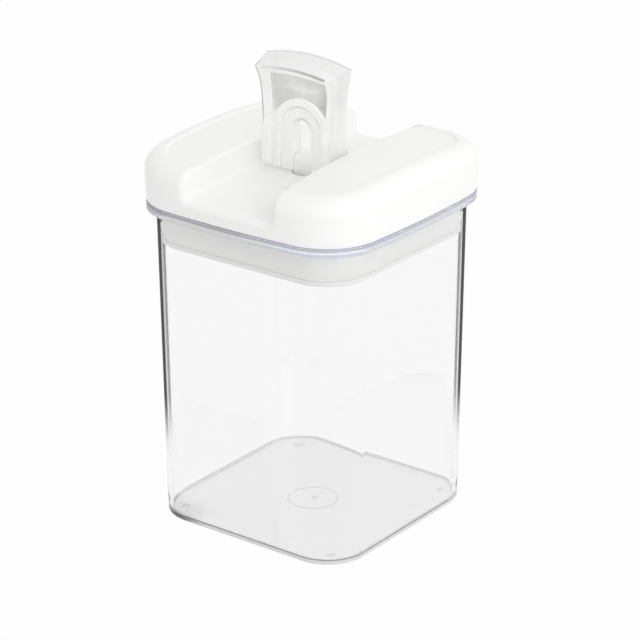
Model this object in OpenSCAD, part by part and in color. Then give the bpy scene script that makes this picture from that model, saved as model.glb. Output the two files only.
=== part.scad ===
// Square storage canister with a flip-lever lid. Millimetres, +Z up, origin on the table under the centre.
// The lever stands upright here, which is the open lid. Laid down towards -Y, its cam heel pulls the seal
// plate up and squeezes the seal band out against the canister's wall.

/* [Canister] */
// Outside width at the base
base_w = 98.6; // [97:0.1:99.4]
// Outside width at the mouth
mouth_w = 102.6; // [102:0.1:103.2]
// Height of the rim's top above the table
body_h = 140.7; // [100:0.1:200]
// Distance between the centres of neighbouring corner rounds
corner_pitch = 62; // [61:0.5:63]
// Thickness of the walls
wall = 1.6; // [1.4:0.1:1.8]
// Thickness of the floor
floor_t = 1.8; // [1.5:0.1:3]
// Height of the foot nubs
foot_h = 0.4; // [0.3:0.1:1]
// Height of the rim's outer face
rim_h = 3.9; // [3:0.1:5]

/* [Lid] */
// Width across the middle of two opposite sides
lid_w = 113.4; // [113:0.1:114]
// Radius of each side's bulge, seen from above
side_r = 500; // [450:10:600]
// Height of the lid from its lower edge to the crown
lid_h = 22; // [21:0.1:24]
// Radius of the shoulder between side and top
shoulder_r = 7.5; // [6:0.5:8]
// Radius of the top's crown along the channel
crown_r = 460; // [440:10:700]
// Radius of the channel floor's crown
floor_crown_r = 492; // [470:2:500]
// Depth of the channel below the crown
channel_depth = 12.3; // [12:0.1:12.8]
// Half width of the channel at the centre of the lid
channel_half = 19.8; // [19.7:0.1:20.4]
// Growth of the channel's half width for each millimetre towards its front end
channel_taper = 0.045; // [0.044:0.002:0.05]
// Thickness of the lid's shells
shell = 2.2; // [1.6:0.1:2.4]

/* [Lever and seal] */
// Rise of the seal plate as the lever is laid down
seal_lift = 2.6; // [2.2:0.1:2.8]
// Distance from the pin to the heel of the upright lever
heel_h = 4.6; // [4.4:0.1:4.7]
// Place of the pin and the post in front of the lid's centre
pin_forward = 4; // [3:0.5:5]
// Diameter of the hinge pin
pin_d = 2.5; // [2:0.1:2.6]
// Diameter of the post
post_d = 11; // [10.5:0.1:11.2]
// Height of the seal band when it isn't squeezed
band_h = 9; // [8.6:0.1:9.2]
// Coils of the return spring
spring_turns = 5.5; // [4.5:0.5:7]

/* [Hidden] */
$fn = 96;

// A small overshoot that keeps cutting faces off the faces they cut
over = 1;

// Facets of the wide arcs, where the general $fn would be too coarse
wide_fn = 720;

// Corner rounds of every square outline share these centres, at (+-core, +-core)
core = corner_pitch / 2;

// The lid's bulged sides are arcs, and each arc's centre lies side_far beyond the lid's own centre
side_far = side_r - lid_w / 2;
lid_corner_r = side_r - norm([core + side_far, core]);
side_turn = atan(core / (core + side_far));

// Levels of the lid
seat_gap = 0.1;
lid_z = body_h + seat_gap;
crown_z = lid_z + lid_h;
channel_z = crown_z - channel_depth;
recess_depth = 0.7;
recess_inset = 8.9;

// Fits inside the lid
fit_gap = 0.3;
post_r = post_d / 2;
guide_r = post_r + fit_gap;
plug_r = 18.1;
skirt_r = 16.4;
liner_z = lid_z + 1.4;
liner_t = 2;
plate_z = lid_z - 18.1;
plate_t = 2.1;
plate_top = plate_z + plate_t;
band_gap = 0.05;
band_z = plate_top + band_gap;
band_top = band_z + band_h;
spring_seat_h = 1.4;

// The hinge: the pin sits this far above the channel floor while the lever stands upright
cam_gap = 0.05;
pin_z = channel_z + cam_gap + heel_h;
pin_r = pin_d / 2;
cam_rate = seal_lift / (PI / 2);
head_half = 4.2;
slot_half = head_half + fit_gap;
lever_back = 2.9;

// ---------------------------------------------------------------- shared shapes

// The waste outside a round of radius r, in the quarter towards +X +Y of its centre
module round_waste(r) {
    difference() {
        square(r + over);
        circle(r);
    }
}

// Sweeps a section round a square with straight sides; the section's x is measured from the corner centres
module around_square() {
    for (turn = [0:90:270]) {
        rotate(turn) {
            translate([core, core, 0]) rotate_extrude(angle = 90) children();
            translate([core, core, 0]) rotate([90, 0, 0]) linear_extrude(2 * core) children();
        }
    }
}

// A square with straight sides whose corner rounds have radius r
module round_square(r) {
    square([2 * core, 2 * (core + r)], center = true);
    square([2 * (core + r), 2 * core], center = true);
    for (sx = [-1, 1], sy = [-1, 1]) translate([sx * core, sy * core]) circle(r);
}

// The lid's outline seen from above, moved in by inset
module lid_outline(inset) {
    tangent = side_r * sin(side_turn);
    intersection() {
        for_each_side() translate([-side_far, 0]) circle(side_r - inset, $fn = wide_fn);
        union() {
            square([2 * tangent, 2 * lid_w], center = true);
            square([2 * lid_w, 2 * tangent], center = true);
        }
    }
    for (sx = [-1, 1], sy = [-1, 1]) translate([sx * core, sy * core]) circle(lid_corner_r - inset);
}

// What four copies of a shape, turned to the four sides, have in common
module for_each_side() {
    intersection() {
        children();
        rotate(90) children();
        rotate(180) children();
        rotate(270) children();
    }
}

// ---------------------------------------------------------------- canister

// Radius of the canister's outer corner round at height z
function body_r(z) = (base_w + (mouth_w - base_w) * z / body_h) / 2 - core;

// Section of wall and floor: an outer edge round and an inner cove join them
module body_section() {
    edge = 0.9;
    cove = 1.4;
    blend = 0.05;
    floor_top = foot_h + floor_t;
    mouth_r = body_r(body_h) - wall;
    difference() {
        polygon([[0, foot_h], [body_r(foot_h), foot_h], [body_r(body_h), body_h], [0, body_h]]);
        translate([body_r(foot_h + edge) - edge + blend, foot_h + edge]) mirror([0, 1]) round_waste(edge);
        difference() {
            polygon([
                [-over, floor_top], [body_r(floor_top) - wall, floor_top],
                [mouth_r, body_h], [mouth_r, body_h + over], [-over, body_h + over]
            ]);
            translate([body_r(floor_top + cove) - wall - cove + blend, floor_top + cove])
                mirror([0, 1]) round_waste(cove);
        }
    }
}

// The rim's cove springs from the wall, and its flange follows the lid's outline
module rim() {
    cove = 3.1;
    step = 0.6;
    step_h = 1;
    set_in = 0.3;
    under = body_h - rim_h;
    bore = body_r(body_h) - wall + over;
    around_square() {
        difference() {
            translate([bore, under - cove]) square([body_r(under) + cove - bore, cove + step_h]);
            translate([body_r(under) + cove, under - cove]) circle(cove);
        }
    }
    difference() {
        union() {
            translate([0, 0, under]) linear_extrude(rim_h - step_h) lid_outline(set_in);
            translate([0, 0, under]) linear_extrude(rim_h) lid_outline(set_in + step);
        }
        translate([0, 0, under - over]) linear_extrude(rim_h + 2 * over) round_square(bore);
    }
}

module foot_nubs() {
    out = core + 7.5;
    tip_r = 1.4;
    root_r = 1.9;
    for (sx = [-1, 1], sy = [-1, 1])
        translate([sx * out, sy * out, 0]) cylinder(r1 = tip_r, r2 = root_r, h = foot_h + over);
}

// The mark of the mould's gate is a low stud inside a shallow ring
module gate_stud() {
    stud_r = 1.6;
    stud_h = 0.2;
    translate([0, 0, foot_h - stud_h]) cylinder(r = stud_r, h = stud_h + over);
}

module gate_ring() {
    ring_r = 10.5;
    groove_r = 0.35;
    translate([0, 0, foot_h]) rotate_extrude() translate([ring_r, 0]) circle(groove_r);
}

module canister_body() {
    color([0.93, 0.95, 0.97, 0.3]) {
        difference() {
            union() {
                around_square() body_section();
                translate([-core, -core, foot_h]) cube([2 * core, 2 * core, floor_t]);
                rim();
                foot_nubs();
                gate_stud();
            }
            gate_ring();
        }
    }
}

// ---------------------------------------------------------------- lid cover

// The lid's outline is sampled side_steps times on each bulged side and corner_steps times on each round
side_steps = 6;
corner_steps = 10;
quarter_steps = side_steps + corner_steps;
ring_steps = 4 * quarter_steps;

// The point of the outline with number i, moved in by inset
function outline_point(i, inset) =
    let (
        quarter = 90 * floor(i / quarter_steps),
        k = i % quarter_steps,
        on_side = k < side_steps,
        turn = on_side
            ? side_turn * (2 * k / side_steps - 1)
            : side_turn + (90 - 2 * side_turn) * (k - side_steps) / corner_steps,
        centre = on_side ? [-side_far, 0] : [core, core],
        p = centre + ((on_side ? side_r : lid_corner_r) - inset) * [cos(turn), sin(turn)]
    )
    [p.x * cos(quarter) - p.y * sin(quarter), p.x * sin(quarter) + p.y * cos(quarter)];

// The point that faces point i across the lid's middle
function across(i) = (2 * quarter_steps + side_steps - i + ring_steps) % ring_steps;

// Height at y of a level that is z at the lid's centre: the crown lowers high levels more than low ones
function crowned(z, y) = lid_z + (z - lid_z) * (1 - y * y / (2 * crown_r * lid_h));

// The lid's block, kept t inside its outside face, with its top lowered by drop and its foot at foot_z
module lid_block(t, drop, foot_z) {
    shoulder_steps = 6;
    side_lean = 0.5;
    bulge_z = crown_z - shoulder_r - drop;
    round_r = shoulder_r - t;
    levels = concat(
        [[t + side_lean, foot_z], [t + side_lean / 4, (foot_z + bulge_z) / 2]],
        [for (k = [0:shoulder_steps])
            let (a = 90 * k / shoulder_steps)
            [t + round_r * (1 - cos(a)), bulge_z + round_r * sin(a)]]
    );
    points = [
        for (level = levels, i = [0:ring_steps - 1])
            let (p = outline_point(i, level[0]))
            [p.x, p.y, crowned(level[1], p.y)]
    ];
    walls = [
        for (j = [0:len(levels) - 2], i = [0:ring_steps - 1])
            let (a = j * ring_steps + i, b = j * ring_steps + (i + 1) % ring_steps)
            each [[a, a + ring_steps, b], [b, a + ring_steps, b + ring_steps]]
    ];
    // Strips across X close the top
    top = (len(levels) - 1) * ring_steps;
    first = ring_steps - quarter_steps + side_steps / 2;
    strips = [
        for (k = [0:ring_steps / 2 - 1])
            let (i = (first + k) % ring_steps, j = (first + k + 1) % ring_steps)
            across(i) == i ? [top + i, top + across(j), top + j]
            : across(j) == j ? [top + i, top + across(i), top + j]
            : [top + i, top + across(i), top + across(j), top + j]
    ];
    polyhedron(points, concat([[for (i = [0:ring_steps - 1]) i]], walls, strips), convexity = 6);
}

// The channel's space, grown by grow on both walls and the floor
module channel_space(grow) {
    floor_steps = 8;
    lip_steps = 3;
    lip_r = 3;
    lip_turn = 75;
    lip_y = 53.5;
    end_y = 62;
    fillet_r = 2.6 + grow;
    fillet_steps = 4;
    draft = 0.3;
    top_z = crown_z + 5;
    section = 2 * (fillet_steps + 2);
    // Each station is a place along Y and how far the rounded mouth has opened there
    lip = [
        for (k = [1:lip_steps])
            let (a = lip_turn * k / lip_steps)
            [lip_y + lip_r * sin(a), lip_r * (1 - cos(a))]
    ];
    lip_end = lip[lip_steps - 1];
    mouth = concat(lip, [[end_y, lip_end[1] + (end_y - lip_end[0]) * tan(lip_turn)]]);
    stations = concat(
        [for (k = [lip_steps:-1:0]) [-mouth[k][0], mouth[k][1]]],
        [for (k = [-floor_steps:2:floor_steps]) [lip_y * k / floor_steps, 0]],
        mouth
    );
    points = [
        for (station = stations)
            let (
                y = station[0],
                half = channel_half - channel_taper * y + grow + station[1],
                floor_z = channel_z - y * y / (2 * floor_crown_r) - grow - station[1],
                fillet = [
                    for (k = [0:fillet_steps])
                        let (a = 90 * k / fillet_steps)
                        [half - draft - fillet_r * (1 - sin(a)), floor_z + fillet_r * (1 - cos(a))]
                ]
            )
            each concat(
                [for (q = fillet) [q.x, y, q.y]],
                [[half, y, top_z], [-half, y, top_z]],
                [for (k = [fillet_steps:-1:0]) [-fillet[k].x, y, fillet[k].y]]
            )
    ];
    walls = [
        for (j = [0:len(stations) - 2], i = [0:section - 1])
            let (a = j * section + i, b = j * section + (i + 1) % section)
            each [[a, b, a + section], [b, b + section, a + section]]
    ];
    ends = [
        [for (i = [section - 1:-1:0]) i],
        [for (i = [0:section - 1]) (len(stations) - 1) * section + i]
    ];
    polyhedron(points, concat(walls, ends), convexity = 6);
}

// Beads inside the lower edge snap under the liner
module snap_beads() {
    bead_l = 24;
    bead_h = 1.2;
    proud = 1;
    root = 0.4;
    for (turn = [0:90:270])
        rotate(turn) translate([lid_w / 2 - shell - proud, -bead_l / 2, lid_z])
            cube([proud + root, bead_l, bead_h]);
}

// The crowned dish in the lid's top, just inside the shoulder
module top_recess() {
    depth = 5;
    difference() {
        translate([0, 0, crown_z - depth]) linear_extrude(2 * depth) lid_outline(recess_inset);
        translate([0, 0, crown_z - recess_depth - crown_r]) rotate([0, 90, 0])
            cylinder(r = crown_r, h = 2 * lid_w, center = true, $fn = wide_fn);
    }
}

module lid_cover() {
    color([0.95, 0.95, 0.94]) {
        difference() {
            lid_block(0, 0, lid_z);
            top_recess();
            channel_space(0);
            difference() {
                lid_block(shell, shell + recess_depth, lid_z - over);
                channel_space(shell);
            }
            translate([0, -pin_forward, channel_z - 2 * shell]) cylinder(r = guide_r, h = 4 * shell);
        }
        snap_beads();
    }
}

// ---------------------------------------------------------------- lid liner and seal

module lid_liner() {
    bead_gap = 0.6;
    sleeve_r = guide_r + 3.2;
    sleeve_gap = 0.2;
    skirt_t = 2;
    skirt_h = 14.2;
    rib_t = 1.6;
    rib_h = 5;
    rib_from = sleeve_r + 4;
    plug_z = band_top + band_gap;
    seat_z = liner_z - spring_seat_h;
    sleeve_top = channel_z - shell - sleeve_gap;
    color([0.94, 0.94, 0.93]) {
        difference() {
            union() {
                translate([0, 0, liner_z]) linear_extrude(liner_t) lid_outline(shell + bead_gap);
                around_square() {
                    translate([skirt_r - skirt_t, liner_z - skirt_h]) square([skirt_t, skirt_h + liner_t / 2]);
                    translate([skirt_r - skirt_t, plug_z])
                        square([plug_r - skirt_r + skirt_t, liner_z - plug_z + liner_t / 2]);
                }
                translate([0, -pin_forward, seat_z]) cylinder(r = sleeve_r, h = sleeve_top - seat_z);
                for (turn = [45:90:315])
                    rotate(turn) translate([rib_from, -rib_t / 2, liner_z - rib_h])
                        cube([norm([core, core]) + skirt_r - skirt_t / 2 - rib_from, rib_t, rib_h + liner_t / 2]);
            }
            translate([0, -pin_forward, seat_z - over]) cylinder(r = guide_r, h = sleeve_top - seat_z + 2 * over);
        }
    }
}

module seal_ring() {
    inner = skirt_r + 0.15;
    outer = 18.3;
    barrel_r = 16;
    color([0.95, 0.95, 0.95, 0.85]) {
        around_square() {
            intersection() {
                translate([inner, band_z]) square([outer - inner + over, band_h]);
                translate([outer - barrel_r, band_z + band_h / 2]) circle(barrel_r);
            }
        }
    }
}

// The post carries the lever: it slides through the liner's sleeve and ends in a flat blade with a bore
module post() {
    blade_r = 3;
    bore_gap = 0.05;
    root = 0.6;
    post_top = channel_z - 4.5;
    difference() {
        union() {
            translate([0, 0, plate_top - root]) cylinder(r = post_r, h = post_top - plate_top + root);
            translate([-head_half, -blade_r, post_top - over])
                cube([2 * head_half, 2 * blade_r, pin_z - post_top + over]);
            translate([-head_half, 0, pin_z]) rotate([0, 90, 0]) cylinder(r = blade_r, h = 2 * head_half);
        }
        translate([0, 0, pin_z]) rotate([0, 90, 0])
            cylinder(r = pin_r + bore_gap, h = 4 * head_half, center = true);
    }
}

module seal_plate() {
    upstand_r = 13.6;
    upstand_t = 1.8;
    upstand_h = 8;
    edge = 0.6;
    rib_t = 1.6;
    rib_h = 4;
    rib_from = 14;
    recess_r = 9;
    recess_t = 0.6;
    color([0.94, 0.94, 0.93]) {
        difference() {
            union() {
                translate([0, 0, plate_z]) linear_extrude(plate_t) round_square(plug_r - edge);
                translate([0, 0, plate_z + edge]) linear_extrude(plate_t - edge) round_square(plug_r);
                around_square()
                    translate([upstand_r - upstand_t, plate_top - edge]) square([upstand_t, upstand_h + edge]);
                for (turn = [45:90:315])
                    rotate(turn) translate([rib_from, -rib_t / 2, plate_top - edge])
                        cube([norm([core, core]) + upstand_r - upstand_t / 2 - rib_from, rib_t, rib_h + edge]);
            }
            translate([0, 0, plate_z - over]) linear_extrude(recess_t + over) round_square(recess_r);
        }
        translate([0, -pin_forward, 0]) post();
    }
}

// ---------------------------------------------------------------- return spring

module return_spring() {
    wire_r = 0.5;
    coil_r = 7.3;
    sides = 8;
    turn_steps = 16;
    rings = spring_turns * turn_steps;
    low = plate_top + wire_r + band_gap;
    high = liner_z - spring_seat_h - wire_r - band_gap;
    points = [
        for (k = [0:rings], i = [0:sides - 1])
            let (turn = 360 * k / turn_steps, a = 360 * i / sides, r = coil_r + wire_r * cos(a))
            [r * cos(turn), r * sin(turn) - pin_forward, low + (high - low) * k / rings + wire_r * sin(a)]
    ];
    skin = [
        for (k = [0:rings - 1], i = [0:sides - 1])
            let (a = k * sides + i, b = k * sides + (i + 1) % sides)
            each [[a, b, a + sides], [b, b + sides, a + sides]]
    ];
    ends = [
        [for (i = [sides - 1:-1:0]) i],
        [for (i = [0:sides - 1]) rings * sides + i]
    ];
    color([0.75, 0.76, 0.78]) polyhedron(points, concat(skin, ends), convexity = 12);
}

// ---------------------------------------------------------------- lever

// In the lever's own views forward is the way it falls, -Y, and heights are measured from the pin.

// Where the cam bears on the floor once the lever has turned by a degrees. The outline is an involute, so
// the pin's height above the floor grows evenly as the lever turns
function cam_point(a) =
    let (bear = heel_h + cam_rate * a * PI / 180)
    [bear * sin(a) + cam_rate * cos(a), cam_rate * sin(a) - bear * cos(a)];

// Side view, forward along x and up along y
module lever_side() {
    cam_steps = 9;
    hub_top = 12;
    rail_low = 16;
    rail_high = 28;
    rail_front = 6;
    lip_front = 8.8;
    lip_h = 38.6;
    lip_steps = 5;
    dish_front = -1.6;
    dish_r = 190;
    dish_h = 26;
    heel_round = 0.8;
    top = 50;
    difference() {
        polygon(concat(
            [[-lever_back, heel_round - heel_h], [heel_round - lever_back, -heel_h]],
            [for (k = [0:cam_steps]) cam_point(90 * k / cam_steps)],
            [[heel_h + seal_lift, hub_top], [rail_front, rail_low]],
            [
                for (k = [0:lip_steps])
                    [rail_front + (lip_front - rail_front) * pow(k / lip_steps, 2),
                    rail_high + (lip_h - rail_high) * k / lip_steps]
            ],
            [[lip_front, top], [-lever_back, top]]
        ));
        translate([dish_front - dish_r, dish_h]) circle(dish_r, $fn = wide_fn);
    }
}

// Front view of everything left of the lever's right edge: a waisted edge with a rounded foot, moved in by inset
module beside_edge(inset) {
    waist = 19;
    waist_h = 12;
    waist_r = 180;
    foot_r = 4;
    far = 60;
    foot_half = waist + pow(waist_h + heel_h, 2) / (2 * waist_r);
    difference() {
        translate([-far, -far]) square([far + waist + foot_r, 2 * far]);
        translate([waist + waist_r - inset, waist_h]) circle(waist_r, $fn = wide_fn);
        translate([foot_half - foot_r, foot_r - heel_h]) mirror([0, 1]) round_waste(foot_r);
    }
}

// The space between the lever's edges, moved in by inset; the edges close in towards the front
module between_edges(inset) {
    edge_turn = 9.5;
    reach = 20;
    for_left_and_right() translate([reach, lever_back, 0]) rotate(-edge_turn)
        translate([-reach, reach, 0]) rotate([90, 0, 0]) linear_extrude(3 * reach) beside_edge(inset);
}

// What a shape and its mirror image have in common
module for_left_and_right() {
    intersection() {
        children();
        mirror([1, 0, 0]) children();
    }
}

// Everything under the lever's arched and slanted end, moved in by inset
module under_end(inset) {
    slant = 17.6;
    arch_r = 90;
    apex_h = 44.7;
    apex_back = 2.2;
    translate([0, apex_back, apex_h]) rotate([slant, 0, 0]) translate([0, 0, -arch_r]) rotate([90, 0, 0])
        cylinder(r = arch_r - inset, h = arch_r, center = true, $fn = wide_fn);
}

// Extrudes a front view forwards from the given distance in front of the pin
module forwards_from(start) {
    depth = 40;
    rotate([90, 0, 0]) translate([0, 0, start]) linear_extrude(depth) children();
}

// Front view of a round-topped opening that runs down past the heel
module arch(half) {
    arch_h = 13.5;
    foot = 10;
    translate([0, arch_h]) circle(half);
    translate([-half, -foot]) square([2 * half, arch_h + foot]);
}

module lever() {
    rail_t = 3.2;
    end_t = 3;
    boss_half = 13.4;
    boss_front = 4.2;
    ring_half = 10.2;
    ring_front = 3;
    panel_front = 1;
    shelf_h = 17.5;
    bore_gap = 0.02;
    wide = 60;
    color([0.9, 0.92, 0.94, 0.4]) {
        translate([0, -pin_forward, pin_z]) {
            difference() {
                intersection() {
                    rotate([90, 0, -90]) linear_extrude(wide, center = true) lever_side();
                    between_edges(0);
                    under_end(0);
                }
                intersection() {
                    forwards_from(panel_front) {
                        difference() {
                            translate([-wide / 2, shelf_h]) square(wide);
                            arch(boss_half);
                        }
                    }
                    between_edges(rail_t);
                    under_end(end_t);
                }
                forwards_from(boss_front) arch(boss_half);
                forwards_from(ring_front) arch(ring_half);
                forwards_from(-lever_back - over) arch(slot_half);
                rotate([0, 90, 0]) cylinder(r = pin_r + bore_gap, h = wide, center = true);
            }
        }
    }
}

module hinge_pin() {
    pin_l = 34;
    bevel = 0.3;
    color([0.78, 0.79, 0.8]) {
        translate([-pin_l / 2, -pin_forward, pin_z]) rotate([0, 90, 0]) rotate_extrude() {
            polygon([
                [0, 0], [pin_r - bevel, 0], [pin_r, bevel],
                [pin_r, pin_l - bevel], [pin_r - bevel, pin_l], [0, pin_l]
            ]);
        }
    }
}

canister_body();
lid_cover();
lid_liner();
seal_ring();
seal_plate();
return_spring();
lever();
hinge_pin();
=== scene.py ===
# A square storage canister with a flip-lever lid, dressed for rendering. Lengths are in millimetres in the
# shapes and in the masks of the materials, and turned into metres as meshes and nodes are made. The floor,
# the light and the camera are in metres.
import math

import bmesh
import bpy
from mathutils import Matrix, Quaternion, Vector


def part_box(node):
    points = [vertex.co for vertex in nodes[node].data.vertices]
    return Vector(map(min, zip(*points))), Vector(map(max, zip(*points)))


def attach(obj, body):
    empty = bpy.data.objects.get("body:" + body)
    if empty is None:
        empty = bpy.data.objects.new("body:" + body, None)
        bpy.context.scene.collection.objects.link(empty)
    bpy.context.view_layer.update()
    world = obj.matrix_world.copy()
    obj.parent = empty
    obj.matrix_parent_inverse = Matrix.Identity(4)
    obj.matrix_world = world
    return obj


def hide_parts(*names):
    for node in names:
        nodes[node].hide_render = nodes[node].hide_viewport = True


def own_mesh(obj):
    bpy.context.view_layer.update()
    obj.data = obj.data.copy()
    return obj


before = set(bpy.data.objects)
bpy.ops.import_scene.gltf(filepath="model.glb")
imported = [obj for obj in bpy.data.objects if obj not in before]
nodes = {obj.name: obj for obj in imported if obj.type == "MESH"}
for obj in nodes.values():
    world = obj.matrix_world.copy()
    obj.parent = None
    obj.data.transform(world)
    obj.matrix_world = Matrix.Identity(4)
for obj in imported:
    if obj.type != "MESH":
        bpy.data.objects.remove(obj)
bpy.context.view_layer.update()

# One millimetre in metres
MM = 0.001

# Points of a mesh that lie closer together than this are joined
JOIN_GAP = 0.02

# ---------------------------------------------------------------- sizes

cover_low, cover_high = (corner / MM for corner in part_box("lid_cover"))
_, body_high = (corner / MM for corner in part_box("canister_body"))
band_low, band_high = (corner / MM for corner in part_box("seal_ring"))
spring_low, spring_high = (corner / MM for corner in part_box("return_spring"))
pin_low, pin_high = (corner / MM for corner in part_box("hinge_pin"))

# Outlines seen from above: the corner rounds are centred on (+-CORE, +-CORE), and each of the lid's bulged
# sides is an arc of radius SIDE_R whose centre lies SIDE_FAR beyond the lid's own
CORE = 31.0
LID_HALF = cover_high.x
SIDE_R = 500.0
SIDE_FAR = SIDE_R - LID_HALF
LID_CORNER_R = SIDE_R - math.hypot(CORE + SIDE_FAR, CORE)
SIDE_TURN = math.atan2(CORE, CORE + SIDE_FAR)
SIDE_STEPS = 12
CORNER_STEPS = 24

# Canister. Its wall leans out from the base to the mouth, and its rim begins RIM_H under its top
BODY_H = body_high.z
FOOT_H = 0.4
BASE_HALF = 49.3
MOUTH_HALF = 51.3
RIM_H = 3.9
WALL = 1.6
FLOOR_T = 1.8
NUB_OUT = 38.5
WALL_HEIGHTS = (20, 45, 70, 95, 120, 130)
FLOOR_SHARES = (0.03, 0.3, 0.6, 0.9)

# Lid: its crown, its shoulder and the dished panel on each ridge
LID_Z = cover_low.z
CROWN_Z = cover_high.z
CROWN_R = 460.0
SHOULDER_R = 7.5
SHOULDER_Z = CROWN_Z - SHOULDER_R
SIDE_LEAN = 0.5
SHELL = 2.2
RECESS_INSET = 8.9
RECESS_DEPTH = 0.7
RECESS_SOFT = 0.9

# Channel between the ridges, and the rounds at its mouths
CHANNEL_Z = CROWN_Z - 12.3
CHANNEL_HALF = 19.8
CHANNEL_TAPER = 0.045
FLOOR_CROWN_R = 492.0
FILLET_R = 2.6
MOUTH_R = 3.0
MOUTH_BACK = 0.4
MOUTH_STEPS = 6
MOUTH_SIDE_STEPS = 4

# Hole for the post. Its round edge lies in a square field of the channel's floor, HOLE_CELLS cells a side
POST_Y = -4.0
GUIDE_R = 5.8
HOLE_FIELD = 9.0
HOLE_CELLS = 8

# Places along Y of the rows of points across the channel's floor
CHANNEL_ROWS = [-48.0, -40.0, -32.0, -25.0, -18.0]
CHANNEL_ROWS += [POST_Y - HOLE_FIELD + 2 * HOLE_FIELD * k / HOLE_CELLS for k in range(HOLE_CELLS + 1)]
CHANNEL_ROWS += [10.0, 17.0, 25.0, 32.0, 40.0, 48.0]

# Upright lever, measured from its pin. Towards the front its arched end slopes and its waisted edges close in
END_R = 90.0
END_SLOPE = math.tan(math.radians(17.6))
END_HEIGHT = 44.7 - 2.2 * END_SLOPE
EDGE_SLOPE = math.tan(math.radians(9.5))
WAIST_HALF = 19.0 - 2.9 * EDGE_SLOPE
WAIST_HEIGHT = 12.0
WAIST_R = 180.0
ARCH_HEIGHT = 13.5

# Refraction index of the clear plastic
CLEAR_IOR = 1.49


# ---------------------------------------------------------------- rings and lofts

def quarter_turned(point, quarter):
    """The point turned by that many quarter turns about the origin."""
    for _ in range(quarter):
        point = (-point[1], point[0])
    return point


def lid_ring(inset):
    """Points of the lid's bulged outline, moved in by inset."""
    ring = []
    for quarter in range(4):
        for step in range(SIDE_STEPS):
            turn = SIDE_TURN * (2 * step / SIDE_STEPS - 1)
            r = SIDE_R - inset
            ring.append(quarter_turned((r * math.cos(turn) - SIDE_FAR, r * math.sin(turn)), quarter))
        for step in range(CORNER_STEPS):
            turn = SIDE_TURN + (math.pi / 2 - 2 * SIDE_TURN) * step / CORNER_STEPS
            r = LID_CORNER_R - inset
            ring.append(quarter_turned((CORE + r * math.cos(turn), CORE + r * math.sin(turn)), quarter))
    return ring


def square_ring(r):
    """Points of a straight-sided square with corner rounds of radius r, in step with lid_ring's points."""
    ring = []
    for quarter in range(4):
        for step in range(SIDE_STEPS):
            ring.append(quarter_turned((CORE + r, CORE * (2 * step / SIDE_STEPS - 1)), quarter))
        for step in range(CORNER_STEPS):
            turn = math.pi / 2 * step / CORNER_STEPS
            ring.append(quarter_turned((CORE + r * math.cos(turn), CORE + r * math.sin(turn)), quarter))
    return ring


def circle_ring(r, x=0, y=0, steps=24):
    """Points of a circle round (x, y)."""
    turns = [2 * math.pi * k / steps for k in range(steps)]
    return [(x + r * math.cos(t), y + r * math.sin(t)) for t in turns]


def shrunk(ring, share):
    """The ring drawn in towards the middle, to that share of its size."""
    return [(x * share, y * share) for x, y in ring]


def arc(centre, r, start, end, steps):
    """Points on an arc in a section, from start to end degrees."""
    turns = [math.radians(start + (end - start) * k / steps) for k in range(steps + 1)]
    return [(centre[0] + r * math.cos(t), centre[1] + r * math.sin(t)) for t in turns]


def turned_arc(centre, r, start, end, steps):
    """Points on an arc seen from above, from start to end in radians, without its last point."""
    turns = [start + (end - start) * k / steps for k in range(steps)]
    return [(centre[0] + r * math.cos(t), centre[1] + r * math.sin(t)) for t in turns]


def level_rings(levels):
    """Rings in space from (outline, height) pairs."""
    return [[(x, y, z) for x, y in outline] for outline, z in levels]


def between_rings(rings, closed=True, capped=False):
    """Points and faces of the skin through rings of points; capped closes its two ends."""
    count = len(rings[0])
    faces = []
    for j in range(len(rings) - 1):
        for i in range(count if closed else count - 1):
            k = (i + 1) % count
            faces.append((j * count + i, j * count + k, (j + 1) * count + k, (j + 1) * count + i))
    if capped:
        faces.append(tuple(range(count - 1, -1, -1)))
        faces.append(tuple(range((len(rings) - 1) * count, len(rings) * count)))
    return [point for ring in rings for point in ring], faces


def mirrored(shape):
    """The shape and its mirror image in the plane x = 0."""
    points, faces = shape
    count = len(points)
    images = [(-x, y, z) for x, y, z in points]
    return points + images, faces + [tuple(count + i for i in reversed(face)) for face in faces]


def joined(shapes):
    """Several shapes as one list of points and one of faces."""
    points = []
    faces = []
    for shape_points, shape_faces in shapes:
        faces += [tuple(len(points) + i for i in face) for face in shape_faces]
        points += shape_points
    return points, faces


def solid(name, shape, body):
    """A smoothly shaded piece on a body, from points in millimetres and faces."""
    points, faces = shape
    mesh = bpy.data.meshes.new(name)
    mesh.from_pydata([(x * MM, y * MM, z * MM) for x, y, z in points], [], faces)
    edited = bmesh.new()
    edited.from_mesh(mesh)
    bmesh.ops.remove_doubles(edited, verts=edited.verts, dist=JOIN_GAP * MM)
    edited.to_mesh(mesh)
    edited.free()
    mesh.shade_smooth()
    piece = bpy.data.objects.new(name, mesh)
    bpy.context.scene.collection.objects.link(piece)
    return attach(piece, body)


def sharp_edges(piece, degrees):
    """Edges sharper than this many degrees aren't shaded smooth."""
    piece.data.set_sharp_from_angle(angle=math.radians(degrees))


# ---------------------------------------------------------------- node trees

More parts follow.
